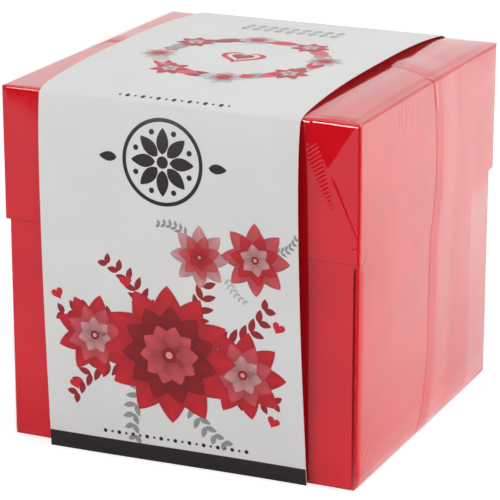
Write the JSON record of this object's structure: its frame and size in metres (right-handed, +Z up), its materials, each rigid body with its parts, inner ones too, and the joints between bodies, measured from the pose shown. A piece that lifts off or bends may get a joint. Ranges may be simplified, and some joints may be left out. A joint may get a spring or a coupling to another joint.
{
  "type": "explosion box",
  "caption": "Square lidded gift box of red card in clear film and a paper sleeve; its walls and heart-shaped wings fall open round a drawer and a small ribboned box.",
  "frame": {"origin": "middle of the underside, on the surface that the box stands on", "axes": "+Z up, the sleeve's front panel faces -Y, the sleeve slides off along +X"},
  "size_m": [0.1202, 0.1276, 0.1195],
  "materials": {
    "red_card": "smooth coloured card",
    "red_leaf": "smooth coloured paper card",
    "red_ribbon": "satin ribbon",
    "sleeve_paper": "silk coated paper",
    "clear_film": "clear shrink film"
  },
  "bodies": {
    "base": {"base_panel": "red_card", "inner_base_panel": "red_card", "platform_case": "red_card", "gift_box_tray": "red_card", "gift_ribbon_band": "red_ribbon"},
    "drawer": {"drawer_tray": "red_card"},
    "gift_lid": {"gift_box_lid": "red_card", "gift_ribbon_cross": "red_ribbon", "gift_bow": "red_ribbon"},
    "lid": {"box_lid": "red_card", "shrink_film": "clear_film"},
    "sleeve": {"paper_sleeve": "sleeve_paper"},
    "wall_front": {"outer_wall_front": "red_card"},
    "wall_right": {"outer_wall_right": "red_card", "ribbon_tie_right": "red_ribbon"},
    "wall_back": {"outer_wall_back": "red_card"},
    "wall_left": {"outer_wall_left": "red_card", "ribbon_tie_left": "red_ribbon"},
    "page_front": {"inner_wall_front": "red_card", "photo_card_front": "red_leaf"},
    "page_right": {"inner_wall_right": "red_card", "photo_card_right": "red_leaf"},
    "page_back": {"inner_wall_back": "red_card", "photo_card_back": "red_leaf"},
    "page_left": {"inner_wall_left": "red_card", "photo_card_left": "red_leaf"},
    "wing_front_left": {"wing_front_left": "red_card", "round_card_front_left": "red_leaf"},
    "wing_front_right": {"wing_front_right": "red_card", "round_card_front_right": "red_leaf"},
    "wing_right_left": {"wing_right_left": "red_card", "round_card_right_left": "red_leaf"},
    "wing_right_right": {"wing_right_right": "red_card", "round_card_right_right": "red_leaf"},
    "wing_back_left": {"wing_back_left": "red_card", "round_card_back_left": "red_leaf"},
    "wing_back_right": {"wing_back_right": "red_card", "round_card_back_right": "red_leaf"},
    "wing_left_left": {"wing_left_left": "red_card", "round_card_left_left": "red_leaf"},
    "wing_left_right": {"wing_left_right": "red_card", "round_card_left_right": "red_leaf"}
  },
  "joints": [
    {"name": "lid_lift", "type": "slide", "parent": "base", "child": "lid", "axis": [0, 0, 1], "range_m": [0, 0.46], "deforming": ["shrink_film", "paper_sleeve"]},
    {"name": "sleeve_slide", "type": "slide", "parent": "lid", "child": "sleeve", "axis": [1, 0, 0], "range_m": [0, 0.14]},
    {"name": "drawer_slide", "type": "slide", "parent": "base", "child": "drawer", "axis": [0, -1, 0], "range_m": [0, 0.006]},
    {"name": "gift_lid_lift", "type": "slide", "parent": "base", "child": "gift_lid", "axis": [0, 0, 1], "range_m": [0, 0.06]},
    {"name": "wall_front_fold", "type": "hinge", "parent": "base", "child": "wall_front", "pos_m": [0, -0.0582, 0.0004], "axis": [1, 0, 0], "range_deg": [0, 90]},
    {"name": "wall_right_fold", "type": "hinge", "parent": "base", "child": "wall_right", "pos_m": [0.0582, 0, 0.0004], "axis": [0, 1, 0], "range_deg": [0, 90]},
    {"name": "wall_back_fold", "type": "hinge", "parent": "base", "child": "wall_back", "pos_m": [0, 0.0582, 0.0004], "axis": [-1, 0, 0], "range_deg": [0, 90]},
    {"name": "wall_left_fold", "type": "hinge", "parent": "base", "child": "wall_left", "pos_m": [-0.0582, 0, 0.0004], "axis": [0, -1, 0], "range_deg": [0, 90]},
    {"name": "page_front_fold", "type": "hinge", "parent": "base", "child": "page_front", "pos_m": [0, -0.0571, 0.0015], "axis": [1, 0, 0], "range_deg": [0, 90]},
    {"name": "page_right_fold", "type": "hinge", "parent": "base", "child": "page_right", "pos_m": [0.0571, 0, 0.0015], "axis": [0, 1, 0], "range_deg": [0, 90]},
    {"name": "page_back_fold", "type": "hinge", "parent": "base", "child": "page_back", "pos_m": [0, 0.0571, 0.0015], "axis": [-1, 0, 0], "range_deg": [0, 90]},
    {"name": "page_left_fold", "type": "hinge", "parent": "base", "child": "page_left", "pos_m": [-0.0571, 0, 0.0015], "axis": [0, -1, 0], "range_deg": [0, 90]},
    {"name": "wing_front_left_fold", "type": "hinge", "parent": "page_front", "child": "wing_front_left", "pos_m": [-0.05365, -0.05515, 0.0015], "axis": [0, 0, 1], "range_deg": [0, 180]},
    {"name": "wing_front_right_fold", "type": "hinge", "parent": "page_front", "child": "wing_front_right", "pos_m": [0.05365, -0.05515, 0.0015], "axis": [0, 0, -1], "range_deg": [0, 180]},
    {"name": "wing_right_left_fold", "type": "hinge", "parent": "page_right", "child": "wing_right_left", "pos_m": [0.05515, -0.05365, 0.0015], "axis": [0, 0, 1], "range_deg": [0, 180]},
    {"name": "wing_right_right_fold", "type": "hinge", "parent": "page_right", "child": "wing_right_right", "pos_m": [0.05515, 0.05365, 0.0015], "axis": [0, 0, -1], "range_deg": [0, 180]},
    {"name": "wing_back_left_fold", "type": "hinge", "parent": "page_back", "child": "wing_back_left", "pos_m": [0.05365, 0.05515, 0.0015], "axis": [0, 0, 1], "range_deg": [0, 180]},
    {"name": "wing_back_right_fold", "type": "hinge", "parent": "page_back", "child": "wing_back_right", "pos_m": [-0.05365, 0.05515, 0.0015], "axis": [0, 0, -1], "range_deg": [0, 180]},
    {"name": "wing_left_left_fold", "type": "hinge", "parent": "page_left", "child": "wing_left_left", "pos_m": [-0.05515, 0.05365, 0.0015], "axis": [0, 0, 1], "range_deg": [0, 180]},
    {"name": "wing_left_right_fold", "type": "hinge", "parent": "page_left", "child": "wing_left_right", "pos_m": [-0.05515, -0.05365, 0.0015], "axis": [0, 0, -1], "range_deg": [0, 180]}
  ],
  "couplings": [
    {"joint": "drawer_slide", "follows": "lid_lift", "ratio": 0.01304},
    {"joint": "gift_lid_lift", "follows": "lid_lift", "ratio": 0.1304},
    {"joint": "wall_front_fold", "follows": "lid_lift", "rad_per_m": 3.4148},
    {"joint": "wall_right_fold", "follows": "lid_lift", "rad_per_m": 3.4148},
    {"joint": "wall_back_fold", "follows": "lid_lift", "rad_per_m": 3.4148},
    {"joint": "wall_left_fold", "follows": "lid_lift", "rad_per_m": 3.4148},
    {"joint": "page_front_fold", "follows": "lid_lift", "rad_per_m": 3.4148},
    {"joint": "page_right_fold", "follows": "lid_lift", "rad_per_m": 3.4148},
    {"joint": "page_back_fold", "follows": "lid_lift", "rad_per_m": 3.4148},
    {"joint": "page_left_fold", "follows": "lid_lift", "rad_per_m": 3.4148},
    {"joint": "wing_front_left_fold", "follows": "lid_lift", "rad_per_m": 6.8295},
    {"joint": "wing_front_right_fold", "follows": "lid_lift", "rad_per_m": 6.8295},
    {"joint": "wing_right_left_fold", "follows": "lid_lift", "rad_per_m": 6.8295},
    {"joint": "wing_right_right_fold", "follows": "lid_lift", "rad_per_m": 6.8295},
    {"joint": "wing_back_left_fold", "follows": "lid_lift", "rad_per_m": 6.8295},
    {"joint": "wing_back_right_fold", "follows": "lid_lift", "rad_per_m": 6.8295},
    {"joint": "wing_left_left_fold", "follows": "lid_lift", "rad_per_m": 6.8295},
    {"joint": "wing_left_right_fold", "follows": "lid_lift", "rad_per_m": 6.8295}
  ]
}
